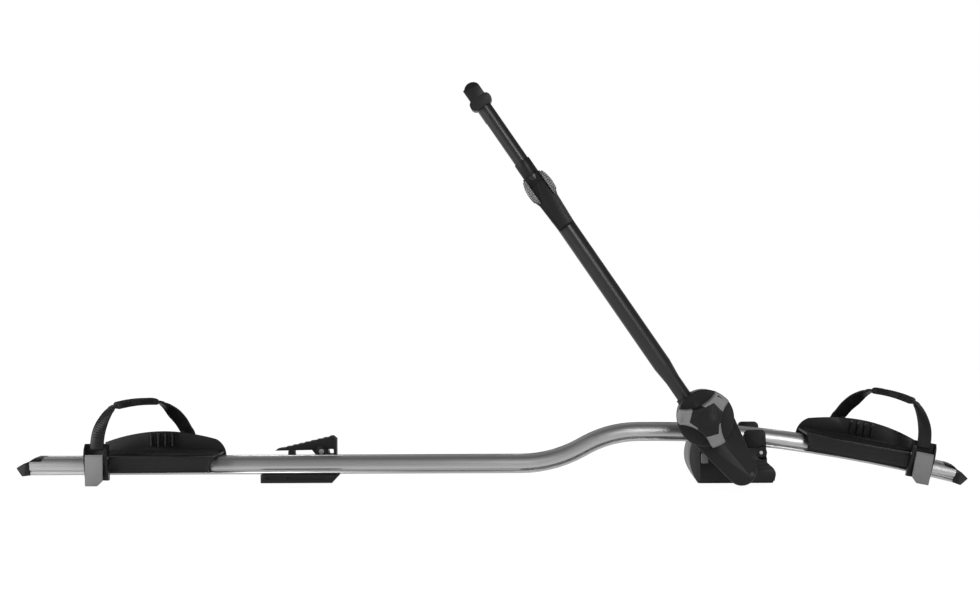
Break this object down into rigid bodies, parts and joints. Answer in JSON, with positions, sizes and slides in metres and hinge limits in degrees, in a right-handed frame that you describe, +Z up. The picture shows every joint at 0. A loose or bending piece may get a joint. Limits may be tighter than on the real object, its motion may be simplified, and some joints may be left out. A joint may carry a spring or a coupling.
{
  "type": "roof mounted bike carrier",
  "caption": "Roof bike carrier: aluminium wheel rail on two feet, wheel trays with ratchet straps and a folding arm whose knob closes a telescoping frame jaw.",
  "frame": {"origin": "middle of the front foot's flat underside, on the load bar", "axes": "+X along the rail to the front of the car, +Y across to the far side, +Z up"},
  "size_m": [1.4417, 0.2132, 0.6096],
  "materials": {
    "anodised_rail": "satin anodised, drawn lengthwise",
    "black_plastic": "finely grained moulding",
    "grey_plastic": "finely grained moulding",
    "black_tube": "semi-gloss powder coat on aluminium",
    "black_rubber": "matt",
    "grey_rubber": "matt, textured",
    "black_strap": "toothed flexible strap",
    "zinc_steel": "zinc plated",
    "black_steel": "blackened",
    "bearing_bronze": "sintered"
  },
  "bodies": {
    "frame": {"rail": "anodised_rail", "rear_end_cap": "black_plastic", "front_end_cap": "black_plastic", "base_housing": "black_plastic", "base_plate": "zinc_steel", "front_bar_pad": "black_rubber", "base_cross_bolt": "zinc_steel", "base_cross_nut": "zinc_steel", "rail_bolts": "zinc_steel", "rail_slot_nuts": "zinc_steel", "pivot_bolt": "zinc_steel", "pivot_nut": "zinc_steel", "rear_foot": "black_plastic", "rear_foot_pad": "black_rubber", "rear_lever_pin": "zinc_steel", "front_tray": "black_plastic", "front_tray_liner": "black_rubber", "front_buckle_body": "black_plastic", "front_buckle_pin": "zinc_steel", "front_anchor_pin": "zinc_steel"},
    "rear_wheel_tray": {"rear_tray": "black_plastic", "rear_tray_liner": "black_rubber", "rear_buckle_body": "black_plastic", "rear_buckle_pin": "zinc_steel", "rear_anchor_pin": "zinc_steel"},
    "rear_wheel_strap": {"rear_strap": "black_strap", "rear_strap_pad": "black_rubber"},
    "front_wheel_strap": {"front_strap": "black_strap", "front_strap_pad": "black_rubber"},
    "rear_ratchet_lever": {"rear_buckle_lever": "grey_plastic"},
    "front_ratchet_lever": {"front_buckle_lever": "grey_plastic"},
    "release_button": {"latch_button": "grey_plastic"},
    "cam_lever": {"rear_cam_lever": "black_plastic"},
    "bar_bolt": {"rear_t_bolt": "zinc_steel"},
    "arm": {"arm_housing": "black_plastic", "arm_cover": "black_plastic", "arm_cover_screws": "black_steel", "pivot_bush": "bearing_bronze", "outer_tube": "black_tube", "lower_jaw": "black_plastic", "lower_jaw_pad": "black_rubber", "jaw_side_pads": "grey_rubber", "tube_sleeve": "black_plastic"},
    "sliding_jaw": {"inner_tube": "black_tube", "inner_plug": "black_plastic", "upper_jaw": "black_plastic", "upper_jaw_pad": "black_rubber", "jaw_rack": "black_plastic"},
    "clamp_knob": {"knob_shaft": "zinc_steel", "knob_body": "black_plastic", "knob_lobes": "grey_plastic", "brake_disc": "grey_rubber"}
  },
  "joints": [
    {"name": "arm_fold", "type": "hinge", "parent": "frame", "child": "arm", "pos_m": [0, -0.08, 0.0466], "axis": [0, 1, 0], "range_deg": [-52, 30]},
    {"name": "knob_turn", "type": "hinge", "parent": "arm", "child": "clamp_knob", "pos_m": [-0.03814, -0.12, 0.10229], "axis": [0, 1, 0], "range_deg": [-602.5, 0]},
    {"name": "jaw_slide", "type": "slide", "parent": "arm", "child": "sliding_jaw", "axis": [-0.565, 0, 0.8251], "range_m": [-0.092, 0]},
    {"name": "rear_tray_slide", "type": "slide", "parent": "frame", "child": "rear_wheel_tray", "axis": [1, 0, 0], "range_m": [-0.06, 0.05]},
    {"name": "rear_strap_lift", "type": "hinge", "parent": "rear_wheel_tray", "child": "rear_wheel_strap", "pos_m": [-0.822, 0.0446, 0.037], "axis": [-1, 0, 0], "range_deg": [0, 100]},
    {"name": "front_strap_lift", "type": "hinge", "parent": "frame", "child": "front_wheel_strap", "pos_m": [0.17311, 0.0446, 0.0577], "axis": [-0.9812, 0, 0.1931], "range_deg": [0, 100]},
    {"name": "rear_ratchet_open", "type": "hinge", "parent": "rear_wheel_tray", "child": "rear_ratchet_lever", "pos_m": [-0.941, -0.055, 0.042], "axis": [-1, 0, 0], "range_deg": [0, 75]},
    {"name": "front_ratchet_open", "type": "hinge", "parent": "frame", "child": "front_ratchet_lever", "pos_m": [0.29083, -0.055, 0.03962], "axis": [-0.9812, 0, 0.1931], "range_deg": [0, 75]},
    {"name": "release_press", "type": "slide", "parent": "frame", "child": "release_button", "axis": [0, 1, 0], "range_m": [0, 0.004], "stiffness_N_per_m": 800, "springref_m": -0.002},
    {"name": "cam_lever_lift", "type": "hinge", "parent": "frame", "child": "cam_lever", "pos_m": [-0.616, 0.0395, 0.04], "axis": [0, 1, 0], "range_deg": [0, 95]},
    {"name": "bar_bolt_drop", "type": "slide", "parent": "frame", "child": "bar_bolt", "axis": [0, 0, 1], "range_m": [-0.00198, 0]}
  ],
  "couplings": [
    {"joint": "knob_turn", "follows": "jaw_slide", "rad_per_m": 114.29},
    {"joint": "cam_lever_lift", "follows": "bar_bolt_drop", "rad_per_m": -833.33}
  ]
}
